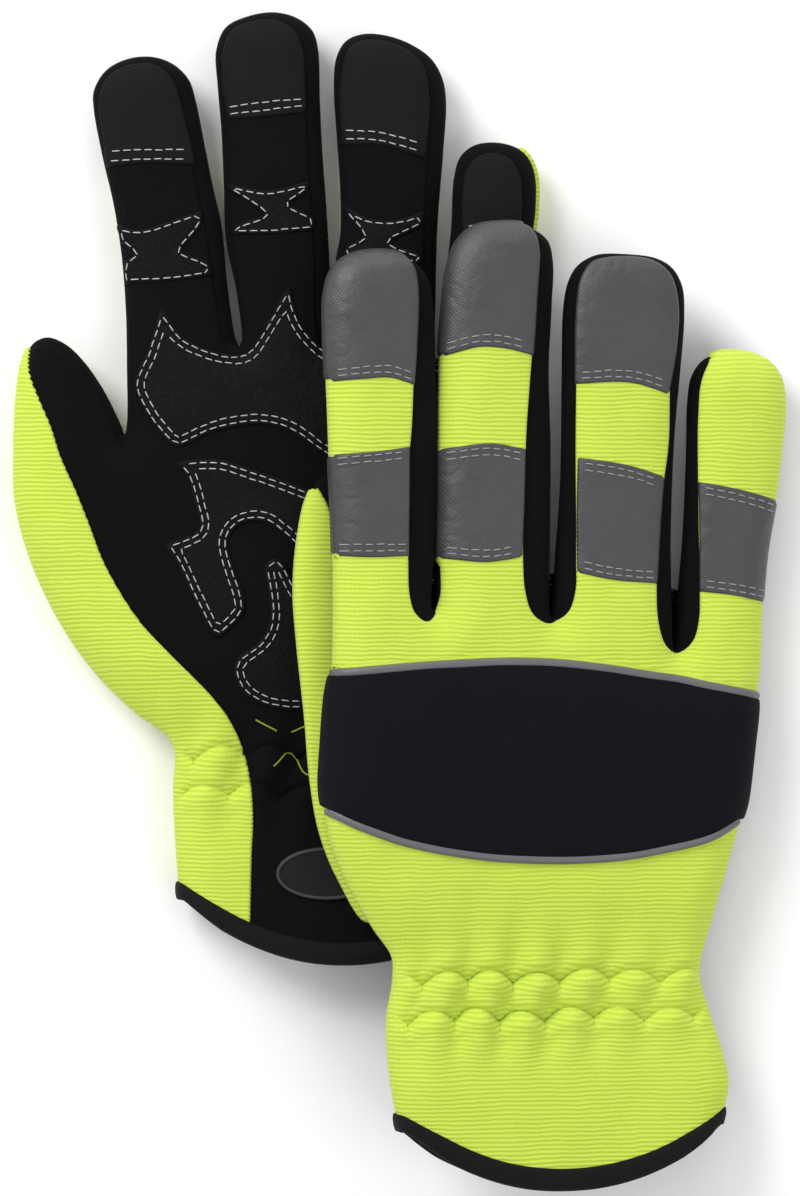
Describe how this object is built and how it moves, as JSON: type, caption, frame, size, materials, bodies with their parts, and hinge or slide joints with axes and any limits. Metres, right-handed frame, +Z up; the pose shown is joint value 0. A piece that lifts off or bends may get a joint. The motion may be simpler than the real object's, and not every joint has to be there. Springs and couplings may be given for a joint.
{
  "type": "pair of work gloves",
  "caption": "High-visibility knit work gloves, one palm up and one palm down, with a padded back, reflective patches, gripping palm patches and a gathered slip-on cuff.",
  "frame": {"origin": "centre of the bounding box on the table, z = 0", "axes": "+Z up from the table, +Y towards the fingertips, +X towards the little fingers"},
  "size_m": [0.1992, 0.3003, 0.0431],
  "materials": {
    "knit": "ribbed knit",
    "leather": "synthetic suede",
    "neoprene": "neoprene with a fabric face",
    "reflective": "retroreflective cloth",
    "piping": "piping",
    "patch": "grained synthetic leather",
    "binding": "woven elastic tape",
    "elastic": "elastic band",
    "badge": "moulded soft badge"
  },
  "bodies": {
    "left_glove": {"left_back_panel": "knit", "left_cuff_badge": "badge", "left_cuff_binding": "binding", "left_fourchette_index_middle": "leather", "left_fourchette_middle_ring": "leather", "left_fourchette_ring_little": "leather", "left_fourchette_thumb_index": "leather", "left_index_band": "reflective", "left_knuckle_pad": "neoprene", "left_little_band": "reflective", "left_middle_band": "reflective", "left_palm_panel": "leather", "left_palm_patch_front": "patch", "left_palm_patch_heel": "patch", "left_palm_patch_middle": "patch", "left_piping_front": "piping", "left_piping_rear": "piping", "left_ring_band": "reflective", "left_side_gusset_little": "knit", "left_side_gusset_thumb": "knit", "left_wrist_elastic": "elastic"},
    "right_glove": {"right_back_panel": "knit", "right_cuff_badge": "badge", "right_cuff_binding": "binding", "right_fourchette_index_middle": "leather", "right_fourchette_middle_ring": "leather", "right_fourchette_ring_little": "leather", "right_index_band": "reflective", "right_knuckle_pad": "neoprene", "right_little_band": "reflective", "right_middle_band": "reflective", "right_palm_panel": "leather", "right_palm_patch_front": "patch", "right_palm_patch_heel": "patch", "right_palm_patch_middle": "patch", "right_piping_front": "piping", "right_piping_rear": "piping", "right_ring_band": "reflective", "right_side_gusset_index": "knit", "right_side_gusset_little": "knit", "right_thumb_stall": "leather", "right_wrist_elastic": "elastic"},
    "left_index_end": {"left_index_reflector": "reflective", "left_index_stall": "leather"},
    "left_little_end": {"left_little_stall": "leather"},
    "left_middle_end": {"left_middle_reflector": "reflective", "left_middle_stall": "leather"},
    "left_ring_end": {"left_ring_reflector": "reflective", "left_ring_stall": "leather"},
    "left_thumb_end": {"left_thumb_stall": "leather"},
    "right_index_end": {"right_index_reflector": "reflective", "right_index_stall": "leather"},
    "right_little_end": {"right_little_stall": "leather"},
    "right_middle_end": {"right_middle_reflector": "reflective", "right_middle_stall": "leather"},
    "right_ring_end": {"right_ring_reflector": "reflective", "right_ring_stall": "leather"}
  },
  "joints": [
    {"name": "right_glove_lift", "type": "slide", "parent": "left_glove", "child": "right_glove", "axis": [0, 0, 1], "range_m": [0, 0.12]},
    {"name": "left_thumb_bend", "type": "hinge", "parent": "left_glove", "child": "left_thumb_end", "pos_m": [-0.0871, 0.0442, 0.0153], "axis": [0.9701, 0.2425, 0], "range_deg": [0, 75]},
    {"name": "left_index_bend", "type": "hinge", "parent": "left_glove", "child": "left_index_end", "pos_m": [-0.06186, 0.10135, 0.0153], "axis": [0.9833, 0.1822, 0], "range_deg": [0, 75]},
    {"name": "left_middle_bend", "type": "hinge", "parent": "left_glove", "child": "left_middle_end", "pos_m": [-0.03312, 0.10997, 0.0153], "axis": [0.9981, 0.061, 0], "range_deg": [0, 75]},
    {"name": "left_ring_bend", "type": "hinge", "parent": "left_glove", "child": "left_ring_end", "pos_m": [-0.0036, 0.1053, 0.0153], "axis": [1, 0, 0], "range_deg": [0, 75]},
    {"name": "left_little_bend", "type": "hinge", "parent": "left_glove", "child": "left_little_end", "pos_m": [0.02291, 0.10025, 0.0153], "axis": [0.9969, -0.0785, 0], "range_deg": [0, 75]},
    {"name": "right_index_bend", "type": "hinge", "parent": "right_glove", "child": "right_index_end", "pos_m": [-0.00437, 0.0476, 0.03952], "axis": [0.9711, 0, -0.2385], "range_deg": [0, 45]},
    {"name": "right_middle_bend", "type": "hinge", "parent": "right_glove", "child": "right_middle_end", "pos_m": [0.02545, 0.05434, 0.0322], "axis": [0.9703, -0.0419, -0.2383], "range_deg": [0, 45]},
    {"name": "right_ring_bend", "type": "hinge", "parent": "right_glove", "child": "right_ring_end", "pos_m": [0.05762, 0.04764, 0.0243], "axis": [0.9703, -0.0419, -0.2383], "range_deg": [0, 45]},
    {"name": "right_little_bend", "type": "hinge", "parent": "right_glove", "child": "right_little_end", "pos_m": [0.08643, 0.0392, 0.01722], "axis": [0.967, -0.0924, -0.2375], "range_deg": [0, 45]}
  ]
}
